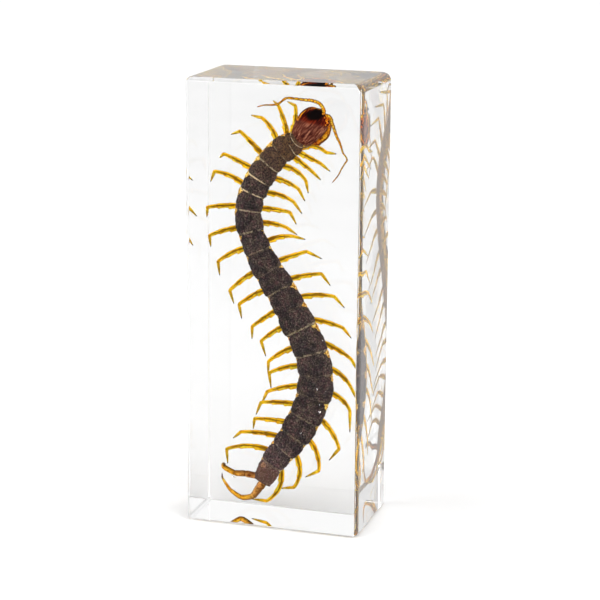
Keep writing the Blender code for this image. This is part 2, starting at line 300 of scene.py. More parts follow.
backPlates = {
    "rings": 26, "sides": 56,
    "tuck": 0.45,  # how far a plate starts under the one before
    "lap": 0.3,  # how far its hind edge covers the one behind
    "narrow": 0.8,  # its front edge, as a share of the full width
    "fullBy": 0.55,  # share of its length by which it is at full width
    "cornerDrop": 0.09, "cornerFrom": 0.78,
    "vary": 0.03,  # how much the plates differ in width
    "rise": 0.13,
    "riseBy": 0.75,
    "lip": 0.1,  # how far the hind edge turns down
    "lipFrom": 0.94,
    "shoulder": 0.72,  # squareness of the cross-section, 1 is an ellipse
    "belly": 0.16,  # hidden underside, as a share of the thickness
    "groove": (0.07, 0.36, 0.035),  # depth, and place and width as shares of the half width
    "rim": (0.1, 0.93, 0.05),
    "reliefFrom": (0.1, 0.3), "reliefTo": (0.85, 0.97),
    # unevenness of the outline: rates per millimetre, heights and starts, and how it leans across
    "waves": [(2.3, 0.05, 0.0), (5.1, 0.04, 1.0), (9.7, 0.03, 2.0)],
    "waveLean": 3.1,
    # how clearly the pale skin behind each plate shows
    "seams": [0.8, 0.2, 0.6, 1.1, 1.1, 0.45, 0.3, 0.15, 0.08, 0.4, 0.08, 0.4, 0.35, 0.12, 0.1, 0.15, 0.12,
              0.2, 0.15, 0.0],
}


def makeBackPlates(p, material):
    # Each plate is a flattened dome: w * sign(cos a) * |cos a|^shoulder across and h * sin a towards the
    # viewer, with w and h swelling from its front edge to its hind edge, which is rounded off
    t = np.linspace(0.0, 1.0, p["rings"])
    first = plateStarts - p["tuck"]
    places = first[:, None] + (plateEnds + p["lap"] - first)[:, None] * t
    point, right = onSpine(places)
    outline = p["narrow"] + (1.0 - p["narrow"]) * np.sin(0.5 * math.pi * np.clip(t / p["fullBy"], 0.0, 1.0))
    outline = outline - p["cornerDrop"] * smoothStep(t, p["cornerFrom"], 1.0) ** 2
    swell = 1.0 - p["rise"] * (1.0 - smoothStep(t, 0.0, p["riseBy"]))
    swell = swell - p["lip"] * smoothStep(t, p["lipFrom"], 1.0)
    odd = 1.0 + p["vary"] * np.sin(unrepeated * np.arange(len(plateEnds)))
    wide = halfWidth(places) * outline * odd[:, None]
    high = halfWidth(places) * trunk["thickness"] * swell
    across, up = section(p["sides"], p["shoulder"])
    (groove, *grooveAt), (rim, *rimAt) = p["groove"], p["rim"]
    relief = rim * peak(np.abs(across), *rimAt) - groove * peak(np.abs(across), *grooveAt)
    relief = relief * np.clip(up, 0.0, 1.0)
    shown = smoothStep(t, *p["reliefFrom"]) * (1.0 - smoothStep(t, *p["reliefTo"]))
    out = (wide[..., None] + ripple(places[..., None] + p["waveLean"] * across, p["waves"])) * across
    deep = high[..., None] * np.where(up > 0.0, up, p["belly"] * up) + relief * shown[None, :, None]
    grid = ringsRound(point, right, out, deep)
    layers = {
        "edge": t,
        "place": places[:, :, None] / spineLength,
        "seam": np.array(p["seams"])[:, None, None],
    }
    skin("back_plates", grid, material, layers)


# Soft sides and belly plates

softBody = {
    "rings": 420, "sides": 40,
    "wide": 0.91,
    "bulge": 0.05,
    "bulgeAt": 0.18,  # how far along each plate the skin bulges most
    "ahead": 0.6,  # how far the tube lies ahead of the plates
    "waves": [(5.3, 0.05, 0.0), (11.7, 0.04, 1.0)],
    "back": 0.8,  # depth towards the viewer, as a share of the plates' height
    "front": 0.92,  # depth towards the back of the block
    "leanPlaces": [0.0, 6.0, 14.0, 24.0, 34.0, 44.0, 54.0, 62.0, 72.0, 82.0, 92.0, 98.0],
    "leans": [-0.1, -0.26, -0.3, -0.18, -0.05, 0.08, 0.12, 0.06, -0.02, -0.05, 0.0, 0.0],
}


def makeSoftBody(p, material):
    # An oval tube under the plates, w * cos a across and h * sin a deep. It bulges once beside each
    # plate, and it leans to whichever side shows more of the animal's flank
    edges = np.array([trunk["start"], *trunk["plateEnds"]])
    places = np.linspace(edges[0] - p["ahead"], edges[-1] - p["ahead"], p["rings"])
    point, right = onSpine(places)
    count = np.interp(places, edges, np.arange(len(edges)))
    wave = 0.5 + 0.5 * np.cos(2.0 * math.pi * (count - p["bulgeAt"]))
    wide = halfWidth(places) * (p["wide"] + p["bulge"] * wave ** 2) + ripple(places, p["waves"])
    high = halfWidth(places) * trunk["thickness"]
    point = point + right * np.interp(places, p["leanPlaces"], p["leans"])[:, None]
    across, up = section(p["sides"])
    reach = np.where(up > 0.0, p["back"], p["front"]) * up
    grid = ringsRound(point, right, wide[:, None] * across, high[:, None] * reach)
    skin("soft_sides", grid[None], material)


bellyPlates = {
    "rings": 16, "sides": 36,
    "share": 0.66,  # of the trunk's width
    "taper": 0.16,  # how much narrower its two ends are
    "deep": 0.92,  # as a share of the plates' height
    "gap": 0.35,  # soft skin between two plates
    "proud": 0.16,
    "square": 0.7,  # squareness of the outline, 1 is an ellipse
    "flat": 0.35,
    "inner": 0.25,  # hidden side, as a share of the depth
}


def makeBellyPlates(p, material):
    # Rounded tiles on the belly, one per ring of the trunk: a low dome facing the back of the block, with
    # w * sign(cos a) * |cos a|^square across and h * |sin a|^flat deep
    t = np.linspace(0.0, 1.0, p["rings"])
    places = (plateStarts + p["gap"])[:, None] + (plateEnds - plateStarts - p["gap"])[:, None] * t
    point, right = onSpine(places)
    ends = np.abs(2.0 * t - 1.0)
    wide = halfWidth(places) * p["share"] * (1.0 - p["taper"] * ends ** 5)
    high = halfWidth(places) * trunk["thickness"] * p["deep"] + p["proud"] * (1.0 - ends ** 6)
    across, up = section(p["sides"], p["square"])
    dome = np.where(up < 0.0, np.abs(up) ** p["flat"], p["inner"])
    grid = ringsRound(point, right, wide[..., None] * across, -high[..., None] * dome)
    skin("belly_plates", grid, material)


# Head, poison claws and feelers

head = {
    "back": (3.5, 0.0, 94.6),
    "front": (10.0, 0.0, 101.8),
    # share of the length, how far the middle lies to the right, half width
    "outline": [(-0.02, -0.2, 0.9), (0.05, -0.15, 1.85), (0.12, -0.2, 2.5), (0.25, -0.2, 3.15),
                (0.45, -0.3, 3.6), (0.6, -0.38, 3.76), (0.72, -0.36, 3.68), (0.84, -0.32, 3.35),
                (0.93, -0.2, 2.85), (1.0, -0.1, 1.95), (1.04, 0.0, 0.9)],
    "steps": 12,
    "high": 2.2,
    "falling": 0.8,  # the power with which its height falls off
    "blunt": 14,  # the higher, the blunter its two ends
    "under": 0.55,  # depth of the hidden side, as a share
    "rings": 60, "sides": 64,
}
headBack = np.array(head["back"])
headAlong = np.array(head["front"]) - headBack
headLength = np.linalg.norm(headAlong)
headAlong = headAlong / headLength
headRight = np.cross(headAlong, forwards)


def makeHeadShield(p, material):
    # A smooth dome over the head: the outline gives its half width along the axis, and its height falls
    # off towards the brow as the outline to a power. Both ends are rounded off to nearly nothing
    given = smoothThrough(p["outline"], p["steps"])
    t = 0.5 - 0.5 * np.cos(np.linspace(0.0, math.pi, p["rings"]))
    share = given[0, 0] + (given[-1, 0] - given[0, 0]) * t
    aside = np.interp(share, given[:, 0], given[:, 1])
    wide = np.interp(share, given[:, 0], given[:, 2])
    wide = wide * np.sqrt(np.clip(1.0 - np.abs(2.0 * t - 1.0) ** p["blunt"], 0.02, 1.0))
    high = p["high"] * (wide / wide.max()) ** p["falling"]
    across, up = section(p["sides"])
    out = wide[:, None] * across
    dome = np.where(up > 0.0, up, p["under"] * up)
    centre = headBack + headAlong * (headLength * share)[:, None] + headRight * aside[:, None]
    layers = {"along": share, "across": aside[:, None] + out, "rim": across[None]}
    skin("head_shield", ringsRound(centre, headRight, out, high[:, None] * dome)[None], material, layers)


claws = {
    # share of the head's length, distance from its axis, and reach
    "path": [(0.05, 1.6, 1.0), (0.27, 3.3, 1.0), (0.46, 3.8, 0.9), (0.62, 4.0, 0.78), (0.78, 3.5, 0.6),
             (0.92, 2.3, 0.42), (1.02, 0.9, 0.2)],
    "depth": 1.6,
    "spread": {"left": -0.8, "right": 0.96},
    "steps": 16, "sides": 24,
    "joints": [(0.28, 0.1), (0.62, 0.12)],  # place, and how far it is pinched
    "jointWide": 0.03,
    "flat": 0.85,
}


def makeClaws(p, material):
    # Two sickles that curve forward under the head: a round profile along each curve, its reach pinched
    # by a share at each joint and tapering to a point
    path = smoothThrough(p["path"], p["steps"])
    spread = np.array([[p["spread"]["left"]], [p["spread"]["right"]]])
    centre = headBack + headAlong * (headLength * path[:, :1]) - forwards * p["depth"]
    paths = centre[None] + (spread * path[:, 1])[..., None] * headRight
    t = np.linspace(0.0, 1.0, len(path))
    reach = path[:, 2] * (1.0 - sum(deep * peak(t, at, p["jointWide"]) for at, deep in p["joints"]))
    around = np.cos(circle(p["sides"]))
    layers = {"along": t, "side": np.stack([around, -around])[:, None]}
    skin("poison_claws", carried(paths, reach, p["sides"], p["flat"]), material, layers)


neck = {
    # distance along the head's axis from its back, distance to the right, and depth
    "path": [(0.9, -2.8, -0.4), (0.35, -2.1, -1.25), (-0.05, -1.1, -1.75), (-0.2, 0.0, -1.9),
             (-0.1, 1.0, -1.8), (0.25, 1.9, -1.3)],
    "reach": 0.068,
    "waves": [(4.0, 0.017, 0.0)],
    "steps": 10, "sides": 14,
    # where the back plates' finish shows its pale skin
    "layers": {"edge": 0.94, "place": 0.25, "seam": 0.75},
}


def makeNeckFold(p, material):
    # A narrow tube of pale skin behind the shield, reach + a small sine thick
    path = smoothThrough(p["path"], p["steps"])
    line = headBack + headAlong * path[:, :1] + headRight * path[:, 1:2] - forwards * path[:, 2:]
    reach = p["reach"] + ripple(path[:, 1], p["waves"])
    skin("neck_fold", carried(line[None], reach, p["sides"]), material, p["layers"])


jaw = {"rings": 24, "sides": 40, "wide": 2.9, "high": 4.4, "flat": 0.7, "inner": 0.3, "blunt": 4,
       "start": -0.6, "end": 7.4}


def makeJawPlate(p, material):
    # The broad plate under the head that carries the claws: a dome, round01 * h * |sin a|^flat deep
    t = np.linspace(0.0, 1.0, p["rings"])
    round01 = np.sqrt(np.clip(1.0 - np.abs(2.0 * t - 1.0) ** p["blunt"], 0.03, 1.0))[:, None]
    across, up = section(p["sides"])
    centre = headBack + headAlong * (p["start"] + (p["end"] - p["start"]) * t)[:, None]
    deep = np.where(up < 0.0, -p["high"] * np.abs(up) ** p["flat"], -p["inner"])
    grid = ringsRound(centre, headRight, p["wide"] * round01 * across, round01 * deep)
    skin("jaw_plate", grid[None], material)


feelers = {
    # x, z and reach
    "left": [(9.8, 101.4, 0.55), (10.1, 102.4, 0.5), (9.8, 103.2, 0.48), (9.3, 103.9, 0.46),
             (8.7, 104.3, 0.45), (7.8, 104.6, 0.44), (6.8, 104.8, 0.42), (5.8, 104.8, 0.4),
             (4.3, 104.9, 0.36), (2.8, 105.0, 0.34), (0.8, 105.0, 0.31), (-0.7, 103.9, 0.28),
             (-1.6, 103.4, 0.26), (-3.2, 103.2, 0.22), (-4.7, 103.1, 0.18), (-6.4, 102.6, 0.12)],
    "right": [(10.3, 101.2, 0.5), (11.3, 101.2, 0.5), (11.9, 100.5, 0.48), (12.1, 99.7, 0.46),
              (12.4, 99.0, 0.44), (12.9, 97.6, 0.4), (13.4, 96.3, 0.36), (14.0, 95.2, 0.33),
              (14.5, 93.9, 0.27), (14.9, 92.7, 0.23), (15.6, 91.8, 0.22), (15.9, 91.0, 0.21),
              (15.4, 90.2, 0.2), (14.5, 88.7, 0.18), (13.8, 87.3, 0.16), (12.4, 85.5, 0.12)],
    "depth": -0.2,
    "steps": 12, "sides": 16,
    "joints": 21,
    "closer": 0.8,  # below 1 the beads get longer towards the tip
    "pinch": 0.2,
    "pinchWide": 0.15,
    "jointWide": 0.18,  # of the brown at each joint
    "socket": (0.35, 0.01, 0.03),  # how much fatter the first bead is, its place and width
}


def makeFeelers(p, material):
    # Bead after bead along each curve: the given reach, pinched at each joint
    flat = np.stack([smoothThrough(p[side], p["steps"]) for side in ("left", "right")])
    paths = np.insert(flat[..., :2], 1, p["depth"], axis=-1)
    t = np.linspace(0.0, 1.0, flat.shape[1])
    beads = t ** p["closer"] * p["joints"]
    fraction = beads - np.round(beads)
    more, *socketAt = p["socket"]
    pinch = p["pinch"] * peak(fraction, 0.0, p["pinchWide"])
    reach = flat[..., 2] * (1.0 - pinch + more * peak(t, *socketAt))
    layers = {
        "along": t,
        "joint": peak(fraction, 0.0, p["jointWide"]),
        "side": np.abs(np.cos(circle(p["sides"])))[None],
    }
    skin("feelers", carried(paths, reach, p["sides"]), material, layers)


# Legs

walkingLegs = {
    # each leg: place of the hip along the trunk, knee (x, z), tip (x, z), and the arch towards the head
    "left": [
        (1.2, 3.0, 103.3, 0.0, 103.7, 0.6), (1.9, -1.2, 103.1, -3.6, 103.8, 0.3),
        (4.4, -5.3, 100.0, -9.1, 100.0, 0.6), (8.8, -10.8, 96.5, -14.2, 95.1, 0.2),
        (12.7, -14.9, 90.8, -17.1, 89.2, 0.2), (16.9, -17.3, 86.4, -19.4, 83.2, 0.7),
        (21.5, -19.1, 77.5, -20.4, 74.4, 0.3), (25.9, -18.6, 70.5, -19.4, 67.0, 0.4),
        (30.6, -16.4, 64.2, -17.1, 60.0, 0.5), (36.2, -13.4, 57.2, -13.4, 53.1, 0.3),
        (41.2, -11.0, 53.9, -11.4, 49.5, 0.3), (47.1, -7.6, 48.6, -8.7, 44.5, 0.1),
        (51.5, -5.3, 45.1, -5.1, 40.4, 0.3), (57.4, -3.4, 40.1, -4.5, 35.8, 0.4),
        (63.1, -3.2, 37.2, -3.7, 32.4, 0.5), (69.6, -3.7, 32.4, -6.2, 28.1, 0.4),
        (75.4, -5.3, 29.5, -7.6, 25.2, 0.3), (81.1, -6.9, 25.2, -8.3, 21.5, 0.2),
        (85.8, -10.5, 21.4, -13.6, 18.5, 0.4), (90.4, -14.2, 16.6, -15.0, 11.7, 1.0),
    ],
    "right": [
        (0.8, 10.4, 92.4, 12.7, 92.0, 1.2), (1.4, 9.1, 89.7, 11.2, 87.7, 0.0),
        (3.2, 7.2, 87.5, 8.9, 85.5, 0.1), (7.7, 5.5, 85.3, 5.8, 82.1, 0.9),
        (11.6, 3.7, 83.2, 5.0, 80.1, 0.4), (16.2, 2.5, 80.0, 4.3, 77.0, 0.6),
        (20.9, 1.6, 77.4, 2.9, 74.3, 0.2), (25.4, 0.8, 73.6, 3.1, 71.8, 0.4),
        (30.8, 2.4, 71.6, 5.2, 70.8, 0.5), (36.6, 5.8, 68.1, 9.4, 66.3, 0.1),
        (41.8, 9.6, 62.9, 11.6, 59.8, 0.2), (46.7, 12.9, 57.5, 15.2, 54.6, 0.5),
        (52.7, 15.2, 49.9, 17.0, 47.2, 0.3), (58.6, 17.4, 42.2, 19.0, 38.6, 0.4),
        (64.3, 17.5, 35.0, 19.0, 31.2, 0.7), (69.4, 17.2, 29.3, 17.0, 23.4, 0.8),
        (75.8, 14.6, 19.3, 11.8, 15.7, 0.7), (81.5, 9.5, 13.1, 5.7, 10.7, 1.0),
        (86.4, 2.8, 7.7, -0.9, 6.7, 1.4), (91.9, -4.7, 2.9, -9.0, 2.6, 1.6),
    ],
    "depths": {"left": (1.4, 0.2, 5.4), "right": (0.9, 1.6, 3.3)},  # hip, knee, tip
    "deeper": {"left": {}, "right": {18: 1.9, 19: 4.0}},  # legs whose knee and tip lie deeper than that
    "hipInset": 1.0,
    "thighRings": 48, "footRings": 24, "sides": 18,
    "thighReach": [(0.0, 0.68), (0.35, 0.71), (0.39, 0.61), (0.68, 0.6), (0.73, 0.5), (1.0, 0.44)],
    "footReach": [(0.0, 0.44), (0.5, 0.36), (0.56, 0.31), (0.86, 0.2), (1.0, 0.06)],
    "thighJoints": (0.05, 0.37, 0.71, 1.0),
    "footJoints": (0.52, 0.86),
    "pinch": 0.14,
    "footPinch": 0.7,  # as a share of that
    "pinchWides": (0.022, 0.035),  # on the thigh and the foot
    "jointWides": (0.02, 0.03),  # of the brown at each joint
    "hang": [(0.06, 0.37, 0.42), (0.4, 0.71, 0.3)],  # start, end, and how low the link hangs there
    "stepUp": (0.02, 0.015),  # how far before and after that end it steps back up
    "flat": 0.9,
}
sideSigns = {"left": -1.0, "right": 1.0}


def legPaths(p, side):
    # From the hip an even arch to the knee, 4 t (1 - t) high, then a straight foot
    sign = sideSigns[side]
    rows = np.array(p[side])
    point, right = onSpine(rows[:, 0])
    hipDepth, kneeDepth, tipDepth = p["depths"][side]
    deeper = np.array([p["deeper"][side].get(leg, 0.0) for leg in range(len(rows))])
    hip = point + sign * right * (halfWidth(rows[:, 0]) - p["hipInset"])[:, None]
    hip[:, 1] = hipDepth
    knee = np.stack([rows[:, 1], kneeDepth + deeper, rows[:, 2]], axis=-1)
    tip = np.stack([rows[:, 3], tipDepth + deeper, rows[:, 4]], axis=-1)
    chord = knee - hip
    upward = sign * unit(np.cross(forwards, chord))
    t = np.linspace(0.0, 1.0, p["thighRings"])[None, :, None]
    u = np.linspace(0.0, 1.0, p["footRings"] + 1)[None, 1:, None]
    thigh = hip[:, None] + chord[:, None] * t + (upward * rows[:, 5:6])[:, None] * 4.0 * t * (1.0 - t)
    foot = knee[:, None] + (tip - knee)[:, None] * u
    return np.concatenate([thigh, foot], axis=1)


def makeWalkingLegs(p, material):
    # Reach along the leg comes from the two lists, pinched at each joint. The underside of the first two
    # links hangs lower and lower, as u to the power 1.4, and steps back up at the joint
    t = np.linspace(0.0, 1.0, p["thighRings"])
    u = np.linspace(0.0, 1.0, p["footRings"] + 1)[1:]

    def atJoints(thighWide, footWide, footShare=1.0):
        return np.concatenate([sum(peak(t, at, thighWide) for at in p["thighJoints"]),
                               footShare * sum(peak(u, at, footWide) for at in p["footJoints"])])

    def hanging(start, end, most):
        link = np.clip((t - start) / (end - start), 0.0, 1.0) ** 1.4
        before, after = p["stepUp"]
        return most * link * (1.0 - smoothStep(t, end - before, end + after))

    reach = np.concatenate([np.interp(t, *zip(*p["thighReach"])), np.interp(u, *zip(*p["footReach"]))])
    reach = reach * (1.0 - p["pinch"] * atJoints(*p["pinchWides"], p["footPinch"]))
    hang = np.concatenate([sum(hanging(*link) for link in p["hang"]), 0.0 * u])
    grids, signs, tones = [], [], []
    for side, sign in sideSigns.items():
        paths = legPaths(p, side)
        grids.append(carried(paths, reach, p["sides"], p["flat"], sign * hang))
        signs.append(np.full(len(paths), sign))
        tones.append(0.5 + 0.5 * np.sin(np.arange(len(paths)) * unrepeated + sign))
    layers = {
        "count": np.concatenate([t, 1.0 + u]),
        "joint": atJoints(*p["jointWides"]),
        "upper": np.concatenate(signs)[:, None, None] * np.cos(circle(p["sides"])),
        "tone": np.concatenate(tones)[:, None, None],
    }
    skin("walking_legs", np.concatenate(grids), material, layers)


lastLegs = {
    # x, depth, z and reach at each joint
    "left": [(-4.6, 0.4, 10.2, 0.85), (-9.4, 0.6, 10.6, 0.84), (-12.2, 0.9, 10.4, 0.72),
             (-15.1, 1.4, 11.5, 0.66), (-15.7, 3.4, 11.8, 0.56), (-15.5, 5.0, 11.1, 0.16)],
    "right": [(-3.6, 0.3, 10.4, 1.05), (-5.8, 1.2, 7.2, 1.05), (-8.2, 4.4, 4.0, 0.76),
              (-11.7, 6.9, 2.8, 0.66), (-14.6, 6.6, 4.6, 0.48), (-16.4, 5.6, 7.6, 0.28),
              (-16.4, 4.8, 9.2, 0.08)],
    "steps": 14, "sides": 24,
    "pinch": (0.16, 0.0, 0.07),  # how far, and where and how wide, in links
    "swell": (0.06, -0.16, 0.1),
    "jointWide": 0.06,
    "round": 0.45,  # how far the bends are eased
    "flat": 0.92,
}


def makeLastLegs(p, material):
    # Stout jointed legs that trail behind: nearly straight links with a short rounded bend at each
    # joint, their reach swollen before it and pinched on it
    for side, sign in sideSigns.items():
        rows = np.array(p[side])
        links = len(rows) - 1
        t = np.linspace(0.0, links, links * p["steps"] + 1)
        straight = np.stack([np.interp(t, np.arange(links + 1), rows[:, i]) for i in range(4)], axis=-1)
        line = straight + (smoothThrough(rows, p["steps"]) - straight) * p["round"]
        away = t - np.round(t)
        inner = (np.round(t) > 0) & (np.round(t) < links)
        (pinch, *pinchAt), (swell, *swellAt) = p["pinch"], p["swell"]
        change = swell * peak(away, *swellAt) - pinch * peak(away, *pinchAt)
        reach = line[:, 3] * (1.0 + change * inner)
        layers = {
            "count": t / links,
            "joint": peak(away, 0.0, p["jointWide"]) * inner,
            "upper": sign * np.cos(circle(p["sides"]))[None],
        }
        skin(f"last_leg_{side}", carried(line[None, :, :3], reach, p["sides"], p["flat"]), material, layers)


# Resin block

block = {
    "wide": 43.4, "deep": 27.0, "high": 110.0,
    # each edge: its even rounding, or else rounding up to an angle, that angle, width of the flat bevel
    # there, and rounding after it
    "top": {"left": 0.9, "right": 2.2, "front": (0.15, 68.0, 1.85, 0.4), "back": 0.9},
    "base": {"left": 1.1, "right": 0.7, "front": (0.3, 68.0, 1.1, 0.2), "back": 0.12},
    # corner by corner from the back right, anticlockwise seen from above
    "upright": [1.0, 0.08, 1.0, (0.2, 65.0, 0.0, 5.5)],
    "steps": 9,
}


def makeBlock(p, material):
    # An edge turns from one face to the next through r * (1 - cos a) inwards and r * sin a along, with
    # another r after the bevel's angle and a straight run put in there. The block is a stack of rings of
    # such corners, drawn in near the base and the top
    def edge(given):
        radius, angle, run, after = given if isinstance(given, tuple) else (given, 45.0, 0.0, given)
        bevel = math.radians(angle)
        first = np.linspace(0.0, bevel, p["steps"])
        second = np.linspace(bevel, 0.5 * math.pi, p["steps"])
        midIn = radius * (1.0 - math.cos(bevel)) + run * math.sin(bevel)
        midRise = radius * math.sin(bevel) + run * math.cos(bevel)
        inward = (radius * (1.0 - np.cos(first)), midIn + after * (math.cos(bevel) - np.cos(second)))
        rise = (radius * np.sin(first), midRise + after * (np.sin(second) - math.sin(bevel)))
        return np.concatenate(inward), np.concatenate(rise)

    top = {side: edge(given) for side, given in p["top"].items()}
    base = {side: edge(given) for side, given in p["base"].items()}
    low = [rise.max() - rise for inward, rise in base.values()]
    high = [p["high"] - rise.max() + rise for inward, rise in top.values()]
    z = np.unique(np.round(np.concatenate(low + high), 3))

    def drawn(side):
        baseIn, baseRise = base[side]
        topIn, topRise = top[side]
        return (np.interp(z, (baseRise.max() - baseRise)[::-1], baseIn[::-1])
                + np.interp(z, p["high"] - topRise.max() + topRise, topIn, left=0.0))

    left = -0.5 * p["wide"] + drawn("left")
    right = 0.5 * p["wide"] - drawn("right")
    front = -0.5 * p["deep"] + drawn("front")
    back = 0.5 * p["deep"] - drawn("back")
    sides = ((right, back, -1, -1), (left, back, 1, -1), (left, front, 1, 1), (right, front, -1, 1))
    corners = []
    for (x, y, signX, signY), given in zip(sides, p["upright"]):
        inward, rise = edge(given)
        fromSide = rise.max() - rise
        first, second = (inward, fromSide) if signX * signY > 0 else (fromSide, inward)
        corners.append(np.stack([x[:, None] + signX * first, y[:, None] + signY * second,
                                 np.broadcast_to(z[:, None], (len(z), len(inward)))], axis=-1))
    grid = np.concatenate(corners, axis=1)[None]
    piece = skin("resin_block", grid, material, None, ("resin_block_front", "resin_block_back"))
    weighted = piece.modifiers.new("flat faces stay flat", "WEIGHTED_NORMAL")
    weighted.weight = 100


# Bubbles and beads

# lumps along the left brow and at the roots of the feelers: x, depth, z and radius
browBeads = [(3.95, -0.8, 100.1, 0.42), (4.65, -1.0, 100.75, 0.32), (5.4, -0.9, 101.5, 0.4),
             (6.2, -0.8, 102.2, 0.32), (7.1, -0.7, 102.7, 0.28), (9.9, -0.9, 101.6, 0.4),
             (10.4, -1.1, 100.9, 0.3), (10.75, -0.9, 100.3, 0.46), (11.3, -0.7, 100.7, 0.36),
             (11.15, -1.0, 99.7, 0.28), (10.8, -1.3, 99.2, 0.2), (11.5, -0.7, 98.8, 0.36)]
# x, depth, z and radius
bubbles = [(9.64, -3.2, 34.9, 0.21), (9.7, -3.2, 34.6, 0.12), (10.34, -3.1, 30.9, 0.14),
           (10.4, -3.2, 29.1, 0.33), (5.57, -3.1, 23.2, 0.21), (11.7, -2.3, 34.3, 0.11),
           (12.1, -1.0, 29.5, 0.1), (10.9, -3.0, 47.0, 0.11), (-12.9, 0.9, 9.5, 0.12),
           (-12.6, 0.9, 9.35, 0.16), (-12.3, 0.9, 9.25, 0.17), (-12.0, 0.9, 9.3, 0.12)]
ballRings, ballSides = 11, 16
beadLayers = {"along": 0.3, "side": 0.4}  # where on a claw the beads take their colour from


def makeBalls(name, rows, material, layers):
    # Small spheres: rings at latitudes b, (cos b * cos a, cos b * sin a, sin b)
    rows = np.array(rows)
    b = np.linspace(-0.49 * math.pi, 0.49 * math.pi, ballRings)[:, None]
    a = circle(ballSides)
    ball = np.stack([np.cos(b) * np.cos(a), np.cos(b) * np.sin(a), np.sin(b) * np.ones(ballSides)], axis=-1)
    skin(name, rows[:, None, None, :3] + rows[:, 3][:, None, None, None] * ball, material, layers)


# Finishes. Each cuticle has one noise, "fine", that colours it and gives its relief. Over that go washes:
# how each is laid, its colour (or the stops of a ramp along the noise), its strength, and the fades that
# steer it. A fade names a value, where it starts and where it is full, and a value alone counts as it is

def fades(tree, values, edges):
    share = 1.0
    for name, *ends in edges:
        share = times(tree, share, between(tree, values[name], *ends) if ends else values[name])
    return share


def washColour(tree, values, over):
    if isinstance(over, str):
        return values[over]
    return ramp(tree, values["fine"], over) if isinstance(over, list) else (*over, 1.0)


def makeCuticle(f, derive=None):
    material, tree, shader = startMaterial(f["name"])
    place = coordinates(tree)
    if "grain" in f:
        mapping = addNode(tree, "Mapping", {"Vector": place, **f["grain"]}, vector_type="TEXTURE")
        place = mapping.outputs["Vector"]
    fine = noise(tree, *f["fine"], vector=place)
    values = {"fine": fine, **{layer: readLayer(tree, layer) for layer in f.get("layers", ())}}
    if derive:
        values.update(derive(tree, f, values))
    colour = ramp(tree, values[f.get("by", "fine")], f["base"], f.get("eased", True))
    for kind, over, strength, *edges in f.get("washes", ()):
        mixed = addNode(tree, "Mix", data_type="RGBA", blend_type=kind)
        share = times(tree, fades(tree, values, edges), strength)
        setInputs(tree, mixed, {0: share, 6: colour, 7: washColour(tree, values, over)})
        colour = mixed.outputs[2]
    setInputs(tree, shader, {
        "Base Color": colour, "Normal": bump(tree, fine, *f["bump"]), "IOR": f["ior"],
        "Roughness": values.get("rough", f.get("rough")), "Transmission Weight": f.get("clear", 0.0),
    })
    if "glow" in f:
        weight, radius, scale = f["glow"]
        setInputs(tree, shader, {
            "Subsurface Weight": weight, "Subsurface Radius": radius, "Subsurface Scale": scale * mm,
        })
    return material


# Dark brown, finely mottled in greys, purples and olives, with pale skin behind some plates
plateLook = {
    "name": "dark_cuticle", "layers": ("place", "edge", "seam"),
    "fine": (2.8, 4.0, 0.85),  # bumps per millimetre, detail and roughness
    "broad": (0.45, 2.0),
    "tint": (1.1, 3.0, 0.6),
    "base": [(0.38, (0.006, 0.004, 0.005)), (0.45, (0.034, 0.023, 0.024)),
             (0.54, (0.092, 0.07, 0.063)), (0.66, (0.31, 0.25, 0.205))],
    "eased": False,
    "patches": [(0.36, (0.36, 0.36, 0.42)), (0.62, (0.76, 0.71, 0.7))],
    "washes": [
        ("MULTIPLY", "patches", 1.0),
        ("MULTIPLY", (1.22, 0.9, 1.0), 1.0, ("tint", 0.52, 0.62)),
        ("MULTIPLY", (0.94, 1.03, 0.88), 1.0, ("tint", 0.47, 0.38)),
        # olive near the head, paler and then browner near the tail
        ("MIX", (0.135, 0.066, 0.019), 0.75, ("place", 0.17, 0.02), ("fine", 0.44, 0.58)),
        ("MULTIPLY", (1.45, 1.4, 1.45), 1.0, ("place", 0.84, 0.9)),
        ("MIX", (0.17, 0.08, 0.05), 0.35, ("ragged", 0.955, 0.99)),
        # pale skin along the hind edge
        ("MIX", [(0.4, (0.24, 0.18, 0.1)), (0.6, (0.8, 0.66, 0.42))], 1.0,
         ("edge", 0.885, 0.925), ("edge", 0.985, 0.955), ("patchy", 0.6, 0.8), ("seam",)),
        ("MIX", (0.56, 0.28, 0.15), 1.0, ("fromSpot", 1.2 * mm, 0.5 * mm), ("fine", 0.43, 0.53)),
    ],
    "raggedBy": 0.04, "patchyBy": 0.5,
    "spot": (-4.5 * mm, -2.0 * mm, 13.8 * mm),  # a light spot on the last plate
    "rough": (0.45, 0.75),
    "bump": (0.5, 0.15),  # strength, and height in millimetres
    "ior": 1.15,
}


def plateValues(tree, f, v):
    broad = noise(tree, *f["broad"])
    low, high = f["rough"]
    rough = addNode(tree, "MapRange", {"Value": v["fine"], "To Min": low, "To Max": high})
    place = coordinates(tree)
    fromSpot = addNode(tree, "VectorMath", {0: place, 1: f["spot"]}, operation="DISTANCE")
    return {
        "tint": noise(tree, *f["tint"]),
        "patches": ramp(tree, broad, f["patches"]),
        "ragged": plus(tree, v["place"], times(tree, broad, f["raggedBy"])),
        "patchy": plus(tree, broad, times(tree, v["fine"], f["patchyBy"])),
        "fromSpot": fromSpot.outputs["Value"],
        "rough": rough.outputs["Result"],
    }


